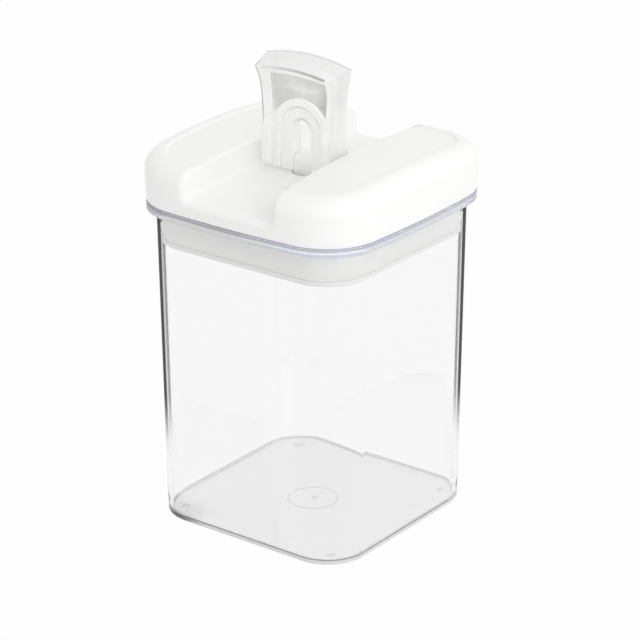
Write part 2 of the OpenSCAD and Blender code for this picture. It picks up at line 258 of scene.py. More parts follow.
class Graph:
    """The node tree of a material or of the world, with short ways to add nodes to it."""

    def __init__(self, owner):
        self.nodes = owner.node_tree.nodes
        self.links = owner.node_tree.links

    def give(self, socket, value):
        """Joins a socket to another one, or sets it to a number, a vector or a colour."""
        if isinstance(value, bpy.types.NodeSocket):
            self.links.new(value, socket)
        else:
            socket.default_value = value

    def fill(self, node, **inputs):
        """Gives a node its inputs by name, where _ stands for a space."""
        for name, value in inputs.items():
            self.give(node.inputs[name.replace("_", " ")], value)

    def add(self, kind, **inputs):
        """A new node of a kind, with inputs given by name."""
        node = self.nodes.new("ShaderNode" + kind)
        self.fill(node, **inputs)
        return node

    def calculate(self, operation, *values):
        """A socket with the result of a Math node on sockets or numbers."""
        node = self.add("Math")
        node.operation = operation
        for socket, value in zip(node.inputs, values):
            self.give(socket, value)
        return node.outputs["Value"]

    def plus(self, first, second):
        """The sum of two sockets or numbers."""
        return self.calculate("ADD", first, second)

    def larger(self, first, second):
        """The larger of two sockets or numbers."""
        return self.calculate("MAXIMUM", first, second)

    def unsigned(self, value):
        """The value without its sign."""
        return self.calculate("ABSOLUTE", value)

    def times(self, first, *others):
        """The product of several sockets or numbers."""
        for other in others:
            first = self.calculate("MULTIPLY", first, other)
        return first

    def distance(self, across, along):
        """The length of the straight line that goes that far across and that far along."""
        return self.calculate("SQRT", self.plus(self.times(across, across), self.times(along, along)))

    def rise(self, value, low, high):
        """A mask that goes smoothly from 0 to 1 as value goes from low to high, which may be the smaller."""
        spread = self.add("MapRange", Value=value, From_Min=low, From_Max=high)
        spread.interpolation_type = "SMOOTHSTEP"
        return spread.outputs["Result"]

    def past(self, length, low, high):
        """A mask that goes smoothly from 0 to 1 as a length goes from low to high millimetres."""
        return self.rise(length, low * MM, high * MM)

    def within(self, length, low, high, soft):
        """A mask that is 1 where a length is from low to high, and fades out over soft millimetres."""
        return self.times(self.past(length, low - soft, low), self.past(length, high + soft, high))

    def place(self):
        """Sockets with the X, Y and Z of the shaded point in the frame at rest, in metres."""
        where = self.add("TexCoord")
        split = self.add("SeparateXYZ", Vector=where.outputs["Object"])
        return split.outputs["X"], split.outputs["Y"], split.outputs["Z"]

    def noise(self, scale, detail, squeeze=(1, 1, 1)):
        """A noise that stays with the piece, finer along an axis whose squeeze is larger."""
        where = self.add("TexCoord")
        mapping = self.add("Mapping", Vector=where.outputs["Object"], Scale=squeeze)
        texture = self.add("TexNoise", Vector=mapping.outputs["Vector"], Scale=scale, Detail=detail)
        return texture.outputs["Fac"]

    def ramp(self, share, *stops):
        """A colour through (position, colour) stops as share goes from 0 to 1; a bare number is a grey."""
        node = self.add("ValToRGB", Fac=share)
        elements = node.color_ramp.elements
        while len(elements) < len(stops):
            elements.new(0.5)
        for element, (position, colour) in zip(elements, stops):
            element.position = position
            element.color = (*colour, 1) if isinstance(colour, tuple) else (colour, colour, colour, 1)
        return node.outputs["Color"]

    def mix_colours(self, share, first, second, way="MIX"):
        """The colour first, mixed with the colour second in that way as far as share says."""
        node = self.add("Mix")
        node.data_type = "RGBA"
        node.blend_type = way
        self.fill(node, Factor=share, A=first, B=second)
        return node.outputs["Result"]

    def mix_shaders(self, share, first, second):
        """A shader that goes from the first to the second as share goes from 0 to 1."""
        mix = self.add("MixShader", Fac=share)
        self.give(mix.inputs[1], first)
        self.give(mix.inputs[2], second)
        return mix.outputs["Shader"]

    def show(self, surface):
        """Makes a shader the surface of the material."""
        self.give(self.nodes["Material Output"].inputs["Surface"], surface)


def new_material(name, **inputs):
    """A material, its graph and its main shader, whose inputs are given by name."""
    material = bpy.data.materials.new(name)
    material.use_nodes = True
    graph = Graph(material)
    shader = graph.nodes["Principled BSDF"]
    graph.fill(shader, **inputs)
    return material, graph, shader


def show_clear(graph, surface, tint):
    """Ends a clear material: light on its way to other pieces passes it with a tint and isn't stopped."""
    path = graph.add("LightPath")
    on_its_way = graph.larger(path.outputs["Is Shadow Ray"], path.outputs["Is Diffuse Ray"])
    through = graph.add("BsdfTransparent", Color=tint)
    graph.show(graph.mix_shaders(on_its_way, surface, through.outputs["BSDF"]))


def dress(piece, material):
    """Gives a piece one material all over."""
    piece.data.materials.clear()
    piece.data.materials.append(material)


# ---------------------------------------------------------------- clear plastic of the canister

def painted_dark_corner_lines(graph, surface, beyond_x, beyond_y):
    """Adds painted dark lines where the wall's corners turn away from the viewer, in place of the dark
    refraction that clear walls show there.
    """
    lean = 0.42
    # Painted shade: a near-black shader mixed in at the corners, in place of refraction of darker
    # surroundings
    black = (0.03, 0.03, 0.032, 1)
    painted_shade_line = graph.add("BsdfPrincipled", Base_Color=black, Roughness=0.5, Specular_IOR_Level=0.1)
    _, _, z = graph.place()
    # The normal leans upwards, so that the painted dark lines stay thin where the canister is seen from above
    geometry = graph.add("NewGeometry")
    leaning = graph.add("VectorMath")
    leaning.operation = "ADD"
    graph.give(leaning.inputs[0], geometry.outputs["Normal"])
    graph.give(leaning.inputs[1], (0, 0, lean))
    unit = graph.add("VectorMath")
    unit.operation = "NORMALIZE"
    graph.give(unit.inputs[0], leaning.outputs["Vector"])
    slant = graph.add("LayerWeight", Blend=0.5, Normal=unit.outputs["Vector"])
    in_corner = graph.times(graph.past(beyond_x, 2, 5), graph.past(beyond_y, 2, 5))
    share = graph.times(in_corner, graph.rise(slant.outputs["Facing"], 0.5, 0.58), graph.past(z, 26, 56))
    return graph.mix_shaders(share, surface, painted_shade_line.outputs["BSDF"])


def painted_foot_shade(graph, surface, beyond_x, beyond_y):
    """Adds a painted dark line along the bottom edge, grey and nearly black towards the front left corner, in
    place of the shade and dark refraction at the foot, and a faint trace of the same painted shade over the
    canister's floor.
    """
    edge_share = 0.85
    floor_share = 0.17
    x, y, z = graph.place()
    near_left = graph.times(graph.past(x, -18, -36), graph.past(y, -30, -42))
    # Painted shade: grey along the bottom edge, nearly black towards the front left corner
    tone = graph.ramp(near_left, (0.0, 0.8), (1.0, 0.06))
    foot_shade_shader = graph.add("BsdfPrincipled", Base_Color=tone, Roughness=0.3)
    geometry = graph.add("NewGeometry")
    normal = graph.add("SeparateXYZ", Vector=geometry.outputs["Normal"])
    upright = graph.rise(graph.unsigned(normal.outputs["Z"]), 0.97, 0.9)
    out = graph.distance(graph.larger(beyond_x, 0.0), graph.larger(beyond_y, 0.0))
    on_edge = graph.times(upright, graph.past(z, 2.6, 2.2), graph.past(out, 17.2, 17.5), edge_share)
    # A faint share of the same painted shade over the canister's lowest part
    on_floor = graph.times(graph.past(z, 2.6, 2.3), floor_share)
    return graph.mix_shaders(graph.larger(on_edge, on_floor), surface, foot_shade_shader.outputs["BSDF"])


def rim_tint_and_painted_bands(graph, surface):
    """Adds the rim's bluish tint, in bands of painted light and shade by level with a dark line at the top.
    On the front side the plug's grey, as seen through the rim, is painted in, under one dark line.
    """
    rim_share = 0.75
    x, y, z = graph.place()
    level = graph.past(z, BODY_H - 4.3, BODY_H)
    # Painted light and shade: lighter and darker bands up the rim's steps, with a dark line along its top
    bluish_painted_bands = graph.ramp(level, (0.0, (0.74, 0.76, 0.83)), (0.3, (0.52, 0.56, 0.67)),
                        (0.6, (0.92, 0.93, 0.96)), (1.0, (0.46, 0.48, 0.59)))
    painted_plug_grey = graph.ramp(level, (0.0, (0.66, 0.65, 0.645)), (0.62, (0.7, 0.69, 0.69)),
                         (1.0, (0.38, 0.37, 0.45)))
    on_front = graph.times(graph.past(y, -46, -51), graph.past(x, 28, -4))
    colour = graph.mix_colours(on_front, bluish_painted_bands, painted_plug_grey)
    rim = graph.add("BsdfPrincipled", Base_Color=colour, Roughness=0.15, IOR=CLEAR_IOR)
    share = graph.times(graph.past(z, BODY_H - 4.2, BODY_H - 3.6), rim_share)
    return graph.mix_shaders(share, surface, rim.outputs["BSDF"])


def canister_plastic():
    """Clear plastic, a little darker at a slant, with painted shade on the nubs, painted dark lines at its
    corners and foot, and painted bands of light and shade on its rim.
    """
    material, graph, shader = new_material("clear_plastic", Roughness=0.01, IOR=CLEAR_IOR)
    graph.fill(shader, Transmission_Weight=1.0)
    x, y, z = graph.place()
    slant = graph.add("LayerWeight", Blend=0.5)
    tint = graph.ramp(slant.outputs["Facing"], (0.45, 0.97), (0.62, 0.93))
    # Painted shade on the nubs, where the canister stands on the floor
    nub_painted_shade = graph.ramp(graph.past(z, 0.38, 0.25), (0.0, 1.0), (1.0, 0.7))
    graph.fill(shader, Base_Color=graph.mix_colours(1.0, tint, nub_painted_shade, "MULTIPLY"))
    beyond_x, beyond_y = (graph.plus(graph.unsigned(s), -CORE * MM) for s in (x, y))
    surface = painted_dark_corner_lines(graph, shader.outputs["BSDF"], beyond_x, beyond_y)
    surface = painted_foot_shade(graph, surface, beyond_x, beyond_y)
    surface = rim_tint_and_painted_bands(graph, surface)
    show_clear(graph, surface, (0.94, 0.94, 0.94, 1))
    return material


# ---------------------------------------------------------------- milky clear plastic of the lever

def lever_places(graph):
    """Sockets with places in the upright lever: across it, forwards of its pin, above the pin, under its
    arched end and inside its edge. Forwards is the way it falls.
    """
    x, y, z = graph.place()
    pin = (pin_low + pin_high) / 2 * MM
    forward = graph.plus(graph.times(y, -1), pin.y)
    height = graph.plus(z, -pin.z)
    arch = graph.times(x, x, 1 / (2 * END_R * MM * math.cos(math.atan(END_SLOPE))))
    end = graph.plus(graph.times(forward, -END_SLOPE), END_HEIGHT * MM)
    under_end = graph.plus(end, graph.times(graph.plus(arch, height), -1))
    from_waist = graph.plus(height, -WAIST_HEIGHT * MM)
    flare = graph.times(from_waist, from_waist, 1 / (2 * WAIST_R * MM))
    half = graph.plus(graph.plus(flare, graph.times(forward, -EDGE_SLOPE)), WAIST_HALF * MM)
    in_edge = graph.plus(half, graph.times(graph.unsigned(x), -1))
    return x, forward, height, under_end, in_edge


def arch_shadows(graph, x, forward, height):
    """Mask of the soft dark arcs on the ring's face, inside its own step and round the slot's top."""
    radius = graph.distance(x, graph.larger(graph.plus(height, -ARCH_HEIGHT * MM), 0.0))
    arcs = graph.larger(graph.within(radius, 9.7, 10.2, 0.8), graph.within(radius, 4.5, 5, 0.8))
    on_top = graph.past(height, ARCH_HEIGHT, ARCH_HEIGHT + 5)
    return graph.times(arcs, graph.past(x, -9, 1), on_top, graph.past(forward, 2.4, 2.8))


def panel_tones(graph, panel, x, height):
    """(mask, tone) pairs of the sunk panel: grey, with painted shade to the right, clouded, with a painted
    highlight in the middle.
    """
    # Painted highlight: the middle of the panel is left lighter
    painted_highlight = graph.times(graph.within(x, -3, 5, 6), graph.within(height, 27, 29.5, 4))
    panel_grey_off_highlight = graph.times(panel, graph.plus(graph.times(painted_highlight, -0.7), 1))
    clouds = graph.times(panel, graph.rise(graph.noise(110, 2, (0.5, 1, 2)), 0.42, 0.58))
    # Painted shade: the panel darker towards the right
    return [(panel_grey_off_highlight, 0.84), (graph.times(panel_grey_off_highlight, graph.past(x, -18, 20)), 0.72), (clouds, 0.87)]


def edge_tones(graph, x, forward, height, under_end, in_edge):
    """(mask, tone) pairs on the lever: painted shade in a dark line under its arched end, along its left and
    back edges, in dark arcs and over its end and side faces, and a dark line across its end face.
    """
    # Painted shade: a dark line under the cap's front edge, where the overhang's dark underside shows through
    painted_shade_line = graph.times(graph.within(under_end, 0.6, 1.4, 0.4), graph.past(forward, 7.8, 8.3),
                       graph.past(in_edge, 2.6, 3.4), graph.past(x, -30, 18))
    # The end face, painted a little darker as shade
    cap = graph.past(under_end, 0.3, 0.1)
    cap_line = graph.times(cap, graph.within(forward, -1.6, -1.4, 0.4))
    # Painted shade: dark lines along the left edge, on the side faces and along the back edge
    left_edge_shade = graph.times(graph.within(in_edge, 0.2, 0.5, 0.2), graph.past(forward, 4, 5.5),
                            graph.past(height, 12, 20), graph.past(x, 1, -1))
    on_side = graph.past(in_edge, 0.4, 0.1)
    back_edge_shade = graph.times(on_side, graph.past(forward, -2.1, -2.5))
    return [(painted_shade_line, 0.42), (cap_line, 0.75), (cap, 0.92), (arch_shadows(graph, x, forward, height), 0.75),
            (left_edge_shade, 0.5), (on_side, 0.84), (back_edge_shade, 0.65)]


def lever_plastic():
    """Milky clear plastic that is clearer and greyer in its sunk panel, with painted shade in dark lines
    along its edges and on its faces, and a painted highlight in the panel's middle.
    """
    material, graph, shader = new_material("lever_plastic", Roughness=0.08, IOR=CLEAR_IOR)
    x, forward, height, under_end, in_edge = lever_places(graph)
    panel = graph.times(graph.within(forward, 0.2, 2, 0.8), graph.past(height, 17.5, 21.5),
                        graph.past(under_end, 1.5, 3.5), graph.past(in_edge, 1.5, 3.5))
    milk = graph.rise(graph.noise(260, 1, (1, 1, 0.15)), 0.35, 0.65)
    tones = panel_tones(graph, panel, x, height) + edge_tones(graph, x, forward, height, under_end, in_edge)
    colour = (1, 1, 0.995, 1)
    for mask, tone in tones + [(milk, 0.965)]:
        colour = graph.mix_colours(mask, colour, (tone, tone, tone, 1), "MULTIPLY")
    upper = graph.past(height, 24, 30)
    clearness = graph.plus(graph.plus(graph.times(panel, 0.2), graph.times(upper, 0.15)), 0.06)
    graph.fill(shader, Base_Color=colour, Transmission_Weight=clearness)
    show_clear(graph, shader.outputs["BSDF"], (0.93, 0.93, 0.93, 1))
    return material


# ---------------------------------------------------------------- white plastic, silicone and steel

def moulded_plastic(name, colour, roughness):
    """Opaque moulded plastic or silicone, faintly mottled and finely grained."""
    material, graph, shader = new_material(name, Roughness=roughness, IOR=1.5)
    darkest = tuple(part * 0.985 for part in colour)
    mottled = graph.ramp(graph.noise(60, 3), (0.0, darkest), (1.0, colour))
    grain = graph.add("Bump", Height=graph.noise(2500, 2), Strength=0.04, Distance=0.2 * MM)
    graph.fill(shader, Base_Color=mottled, Normal=grain.outputs["Normal"])
    return material


def drawn_steel():
    """Drawn steel with a faint uneven sheen."""
    material, graph, shader = new_material("steel", Base_Color=(0.72, 0.72, 0.73, 1), Metallic=1)
    sheen = graph.add("MapRange", Value=graph.noise(900, 2), To_Min=0.22, To_Max=0.38)
    graph.fill(shader, Roughness=sheen.outputs["Result"])
    return material


# ---------------------------------------------------------------- canister

def body_r(z):
    """Corner radius of the canister's outside at a height."""
    return BASE_HALF + (MOUTH_HALF - BASE_HALF) * z / BODY_H - CORE


def square_levels(section):
    """(outline, height) pairs from (corner radius, height) pairs."""
    return [(square_ring(r), z) for r, z in section]


def outside_levels():
    """The underside, the rounded foot, the leaning wall and the cove that springs out to the rim."""
    foot_r = 0.9
    cove_r = 3.1
    lowest = 6
    foot_z = FOOT_H + foot_r
    rim_z = BODY_H - RIM_H
    base_ring = square_ring(body_r(foot_z) - foot_r)
    levels = [(shrunk(base_ring, share), FOOT_H) for share in FLOOR_SHARES]
    levels += square_levels(arc((body_r(foot_z) - foot_r, foot_z), foot_r, -90, 0, 6))
    levels += square_levels([(body_r(z), z) for z in (lowest, *WALL_HEIGHTS)])
    return levels + square_levels(arc((body_r(rim_z) + cove_r, rim_z - cove_r), cove_r, 180, 90, 8))


def rim_levels():
    """The rim, which follows the lid's outline just inside it and steps in once more under its top."""
    inset = 0.3
    step = 0.6
    step_h = 1
    soft = 0.3
    rim_z = BODY_H - RIM_H
    step_z = BODY_H - step_h
    section = [(inset + soft, rim_z), (inset, rim_z + soft), (inset, step_z - soft), (inset + soft, step_z),
               (inset + step, step_z), (inset + step, BODY_H - soft), (inset + step + soft, BODY_H)]
    return [(lid_ring(moved_in), z) for moved_in, z in section]


def inside_levels():
    """The inside, from the mouth's soft edge down the wall and round the cove to the middle of the floor."""
    soft = 0.3
    cove_r = 1.4
    lowest = 10
    floor_z = FOOT_H + FLOOR_T
    mouth_r = body_r(BODY_H) - WALL
    floor_r = body_r(floor_z + cove_r) - WALL - cove_r
    levels = square_levels([(mouth_r + soft, BODY_H), (mouth_r, BODY_H - soft)])
    levels += square_levels([(body_r(z) - WALL, z) for z in reversed((lowest, *WALL_HEIGHTS))])
    levels += square_levels(arc((floor_r, floor_z + cove_r), cove_r, 0, -90, 8))
    return levels + [(shrunk(square_ring(floor_r), share), floor_z) for share in reversed(FLOOR_SHARES)]


def foot_nub(x, y):
    """One of the four low cones that the canister stands on, from (radius, height) pairs."""
    section = [(1.84, FOOT_H), (1.5, 0.12), (1.4, 0.04), (1.3, 0), (0.1, 0)]
    return between_rings(level_rings([(circle_ring(r, x, y), z) for r, z in section]))


def gate_mark():
    """The low stud that the mould's gate left, inside a shallow half-round ring."""
    stud_r = 1.6
    stud_z = FOOT_H - 0.2
    ring_r = 10.5
    ring_h = 0.35
    stud = [(stud_r, FOOT_H), (stud_r, stud_z + 0.05), (stud_r - 0.1, stud_z), (0.05, stud_z)]
    ring = arc((ring_r, FOOT_H), ring_h, 0, 180, 6)
    shapes = [between_rings(level_rings([(circle_ring(r), z) for r, z in stud]))]
    shapes.append(between_rings(level_rings([(circle_ring(r, steps=64), z) for r, z in ring])))
    return joined(shapes)


def make_canister(material):
    """The clear canister with its foot nubs and gate mark."""
    levels = outside_levels() + rim_levels() + inside_levels()
    shapes = [between_rings(level_rings(levels), capped=True), gate_mark()]
    shapes += [foot_nub(sx * NUB_OUT, sy * NUB_OUT) for sx in (-1, 1) for sy in (-1, 1)]
    piece = solid("clear_canister", joined(shapes), "canister")
    sharp_edges(piece, 60)
    dress(piece, material)
    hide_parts("canister_body")


# ---------------------------------------------------------------- lid cover: places

def crowned(h, y):
    """Height at y of a level that is h at the lid's centre."""
    return LID_Z + (h - LID_Z) * (1 - y * y / (2 * CROWN_R * (CROWN_Z - LID_Z)))


def uncrowned(z, y):
    """The level whose height at y is z."""
    return LID_Z + (z - LID_Z) / (1 - y * y / (2 * CROWN_R * (CROWN_Z - LID_Z)))


def side_inset(h):
    """How far the lid's side lies inside its widest outline at level h: a slight lean, then the shoulder."""
    if h <= SHOULDER_Z:
        return SIDE_LEAN * ((SHOULDER_Z - h) / (SHOULDER_Z - LID_Z)) ** 2
    rise = min(h - SHOULDER_Z, SHOULDER_R)
    return SHOULDER_R - math.sqrt(SHOULDER_R ** 2 - rise ** 2)


def depth_inside(x, y):
    """How far a point lies inside the lid's outline."""
    small, large = sorted((abs(x), abs(y)))
    if small > CORE and math.atan2(large - CORE, small - CORE) < math.pi / 2 - SIDE_TURN:
        return LID_CORNER_R - math.hypot(small - CORE, large - CORE)
    return SIDE_R - math.hypot(small, large + SIDE_FAR)


def channel_floor(y):
    """Height of the middle of the channel's crowned floor at y."""
    return CHANNEL_Z - y * y / (2 * FLOOR_CROWN_R)


def wall_foot(y):
    """Height at which the channel's wall ends and the fillet to its floor begins."""
    return channel_floor(y) + FILLET_R


def mouth_level(turn):
    """The lid's level at the place turn degrees up the rounded bottom corner of the channel's mouth."""
    y = LID_HALF - MOUTH_BACK
    return uncrowned(wall_foot(y) - (FILLET_R + MOUTH_R) * math.cos(math.radians(turn)), y)


def mouth_round(inset, wall_inset, end):
    """Centre of the vertical round between channel wall and lid outline, and its angles at wall and outline.

    end is -1 for the channel's front mouth and 1 for its back mouth.
    """
    lean = math.hypot(1, CHANNEL_TAPER)
    normal = Vector((1, CHANNEL_TAPER)) / lean
    along = Vector((-CHANNEL_TAPER, 1)) / lean
    side_centre = Vector((0, -end * SIDE_FAR))
    out = CHANNEL_HALF / lean + wall_inset + MOUTH_R
    reach = SIDE_R - inset - MOUTH_R
    away = math.sqrt(reach ** 2 - (out - normal.dot(side_centre)) ** 2)
    centre = out * normal + (along.dot(side_centre) + end * away) * along
    spoke = centre - side_centre
    whole_turn = 2 * math.pi if end > 0 else 0
    return centre, math.atan2(-normal.y, -normal.x) + whole_turn, math.atan2(spoke.y, spoke.x)


def on_round(centre, turn):
    """The point of a mouth's vertical round at an angle."""
    return centre + MOUTH_R * Vector((math.cos(turn), math.sin(turn)))


def wall_shares():
    """Places along the channel's wall in step with the floor's rows, as shares of its length from behind."""
    front, front_wall, _ = mouth_round(side_inset(mouth_level(90)), 0, -1)
    back, back_wall, _ = mouth_round(side_inset(mouth_level(90)), 0, 1)
    start = on_round(back, back_wall).y
    end = on_round(front, front_wall).y
    return [0] + [(start - y) / (start - end) for y in reversed(CHANNEL_ROWS)]


# ---------------------------------------------------------------- lid cover: ridges and sides

def outer_side(inset, front_turn, back_turn):
    """The right half of the lid's outline, from an angle on its front side up to one on its back side."""
    side = SIDE_R - inset
    corner = LID_CORNER_R - inset
    quarter = math.pi / 2
    points = turned_arc((0, SIDE_FAR), side, front_turn, SIDE_TURN - quarter, MOUTH_SIDE_STEPS)
    points += turned_arc((CORE, -CORE), corner, SIDE_TURN - quarter, -SIDE_TURN, CORNER_STEPS)
    points += turned_arc((-SIDE_FAR, 0), side, -SIDE_TURN, SIDE_TURN, SIDE_STEPS)
    points += turned_arc((CORE, CORE), corner, SIDE_TURN, quarter - SIDE_TURN, CORNER_STEPS)
    points += turned_arc((0, -SIDE_FAR), side, quarter - SIDE_TURN, back_turn, MOUTH_SIDE_STEPS)
    return points


def ridge_ring(inset, wall_inset):
    """The outline of the right-hand ridge, with the vertical edges at the channel's mouths rounded."""
    front, front_wall, front_turn = mouth_round(inset, wall_inset, -1)
    back, back_wall, back_turn = mouth_round(inset, wall_inset, 1)
    start = on_round(back, back_wall)
    end = on_round(front, front_wall)
    points = outer_side(inset, front_turn, back_turn)
    points += turned_arc(back, MOUTH_R, back_turn, back_wall, MOUTH_STEPS)
    points += [tuple(start.lerp(end, share)) for share in wall_shares()]
    points += turned_arc(front, MOUTH_R, front_wall, front_turn, MOUTH_STEPS)
    return points


def top_point(x, y, h, sink):
    """A point of the ridge at level h, lowered into the dished top by a share sink of the dish's depth."""
    inside = (depth_inside(x, y) - RECESS_INSET) / RECESS_SOFT + 0.5
    inside = min(max(inside, 0), 1)
    return x, y, crowned(h, y) - sink * RECESS_DEPTH * inside * inside * (3 - 2 * inside)


def ridge_sides(foot, edge_r):
    """Rings up the ridge's sides from its foot, over the shoulder and over the round edge at the channel."""
    shoulder_steps = 10
    edge_steps = 4
    wall_top = CROWN_Z - edge_r
    levels = [(foot + SHOULDER_Z) / 2]
    levels += [h for _, h in arc((0, SHOULDER_Z), SHOULDER_R, 0, 90, shoulder_steps)]
    levels += [h for _, h in arc((0, wall_top), edge_r, 0, 90, edge_steps)[:-1]]
    outer_count = len(outer_side(0, -math.pi / 2, math.pi / 2))
    first = enumerate(ridge_ring(side_inset(foot), 0))
    rings = [[(x, y, crowned(foot, y) if i <= outer_count else wall_foot(y)) for i, (x, y) in first]]
    for h in sorted(levels):
        rise = max(0, h - wall_top)
        wall_inset = edge_r - math.sqrt(edge_r ** 2 - rise ** 2)
        sink = max(0, (h - SHOULDER_Z) / SHOULDER_R) ** 2
        rings.append([top_point(x, y, h, sink) for x, y in ridge_ring(side_inset(h), wall_inset)])
    return rings


def ridge_top(edge_r):
    """Rings from the ridge's edge in over the soft edge of its dish, and on to a spine along its middle."""
    wall_lean = 0.2
    spine_x = 34.0
    spine_half = 30.0
    rings = []
    for inset in (8.0, 8.4, 8.7, 9.0, 9.3, 9.7, 10.5):
        ring = ridge_ring(inset, edge_r + wall_lean * (inset - SHOULDER_R))
        rings.append([top_point(x, y, CROWN_Z, 1) for x, y in ring])
    last = rings[-1]
    for share in (0.3, 0.65, 1):
        ring = []
        for x, y, _ in last:
            goal_y = min(max(y, -spine_half), spine_half)
            ring.append(top_point(x + (spine_x - x) * share, y + (goal_y - y) * share, CROWN_Z, 1))
        rings.append(ring)
    return rings


def ridge():
    """The right-hand ridge above the channel's floor, with its dished and crowned top."""
    edge_r = 1.2
    return between_rings(ridge_sides(mouth_level(90), edge_r) + ridge_top(edge_r))


def mouth_flank():
    """The right-hand part of the lid's side beside the rounded bottom corners of the channel's mouths."""
    steps = 6
    top = side_inset(mouth_level(90))
    front, _, front_turn = mouth_round(top, 0, -1)
    back, _, back_turn = mouth_round(top, 0, 1)
    r = FILLET_R + MOUTH_R
    rings = []
    for k in range(steps + 1):
        turn = 90 * k / steps
        side = SIDE_R - side_inset(mouth_level(turn))
        back_in = r * (1 - math.sin(math.radians(turn)))
        front_x = on_round(front, front_turn).x - back_in
        back_x = on_round(back, back_turn).x - back_in
        ring = outer_side(side_inset(mouth_level(turn)), -math.acos(front_x / side), math.acos(back_x / side))
        ring.append((back_x, math.sqrt(side ** 2 - back_x ** 2) - SIDE_FAR))
        rings.append([(x, y, crowned(mouth_level(turn), y)) for x, y in ring])
    return between_rings(rings, closed=False)


def skirt():
    """The lid's side below the channel's mouths, its lower edge and the inside of that edge."""
    soft = 0.35
    inner_h = 6
    side_h = mouth_level(0) - LID_Z
    levels = [(SHELL + SIDE_LEAN / 2, LID_Z + inner_h), (SHELL + SIDE_LEAN, LID_Z + soft)]
    levels += [(SHELL + SIDE_LEAN - soft, LID_Z), (SIDE_LEAN + soft, LID_Z)]
    levels += [(SIDE_LEAN + soft * (1 - math.sin(t)), LID_Z + soft * (1 - math.cos(t)))
               for t in (math.pi / 6, math.pi / 3, math.pi / 2)]
    levels += [(side_inset(LID_Z + share * side_h), LID_Z + share * side_h) for share in (0.5, 1)]
    return between_rings([[(x, y, crowned(z, y)) for x, y in lid_ring(inset)] for inset, z in levels])


def snap_bead(quarter):
    """A half-round bead inside the lid's lower edge, with tapered ends."""
    half = 12.0
    taper = 1.2
    end_size = 0.15
    sunk = 0.1
    middle_z = LID_Z + 0.65
    half_h = 0.55
    steps = 6
    rings = []
    for along in (-half, -half + taper / 3, -half + taper, half - taper, half - taper / 3, half):
        size = min(1, end_size + (half - abs(along)) / taper)
        ring = []
        for k in range(steps + 1):
            turn = math.pi / 2 + math.pi * k / steps
            x = LID_HALF - SHELL - sunk + size * math.cos(turn)
            ring.append((*quarter_turned((x, along), quarter), middle_z + half_h * size * math.sin(turn)))
        rings.append(ring)
    return between_rings(rings)


# ---------------------------------------------------------------- lid cover: channel

def channel_section(wall_x, foot_z, grow, face_y):
    """One row of the channel's floor: a fillet, the flat floor and a fillet. face_y gives y from x and z."""
    steps = 6
    r = FILLET_R + grow
    floor_x = wall_x - r
    right = []
    for k in range(steps + 1):
        turn = math.pi / 2 * k / steps
        right.append((floor_x + r * math.sin(turn), foot_z - r * math.cos(turn), math.sin(turn)))
    cells = [2 * HOLE_FIELD * k / HOLE_CELLS - HOLE_FIELD for k in range(HOLE_CELLS + 1)]
    middle = (HOLE_FIELD + floor_x) / 2
    flat = [(x, foot_z - r, 0) for x in [-middle] + cells + [middle]]
    section = [(-x, z, rise) for x, z, rise in reversed(right)] + flat + right
    return [(x, face_y(abs(x), z, rise), z) for x, z, rise in section]


def mouth_rows(end):
    """Rows of the rounded lip where the channel's floor runs out through the lid's side, from the inside."""
    inset = side_inset(mouth_level(90))
    centre, wall_turn, outline_turn = mouth_round(inset, 0, end)
    rows = []
    for k in range(MOUTH_STEPS + 1):
        share = k / MOUTH_STEPS
        turn = math.pi / 2 * share
        wall = on_round(centre, wall_turn + (outline_turn - wall_turn) * share)
        grow = MOUTH_R * (1 - math.cos(turn))
        back_in = MOUTH_R * (1 - math.sin(turn))

        def raw_y(x, z):
            side = SIDE_R - side_inset(uncrowned(z, LID_HALF - MOUTH_BACK))
            return end * (math.sqrt(side ** 2 - x ** 2) - SIDE_FAR - back_in)

        foot_z = wall_foot(wall.y)
        miss = wall.y - raw_y(wall.x, foot_z)
        rows.append(channel_section(wall.x, foot_z, grow, lambda x, z, rise: raw_y(x, z) + miss * rise))
    return rows


def channel_rows():
    """All rows of the channel's floor from front to back, and the number of the first at the hole's field."""
    front_lip = list(reversed(mouth_rows(-1)))
    floor = []
    for y in CHANNEL_ROWS:
        wall_x = CHANNEL_HALF - CHANNEL_TAPER * y
        floor.append(channel_section(wall_x, wall_foot(y), 0, lambda x, z, rise, y=y: y))
    return front_lip + floor + mouth_rows(1), len(front_lip) + CHANNEL_ROWS.index(POST_Y - HOLE_FIELD)


def add_hole(points, faces, edge):
    """Adds the faces from a square field's edge in to the round hole for the post, and its wall."""
    around = 1.6
    soft = 0.3
    near = 0.3 * soft
    section = [(GUIDE_R + around, 0), (GUIDE_R + soft, 0), (GUIDE_R + near, near), (GUIDE_R, soft)]
    section.append((GUIDE_R, SHELL))
    for r, down in section:
        start = len(points)
        for i in edge:
            turn = math.atan2(points[i][1] - POST_Y, points[i][0])
            x = r * math.cos(turn)
            y = POST_Y + r * math.sin(turn)
            points.append((x, y, channel_floor(y) - down))
        ring = list(range(start, len(points)))
        for i in range(len(ring)):
            k = (i + 1) % len(ring)
            faces.append((edge[i], edge[k], ring[k], ring[i]))
        edge = ring


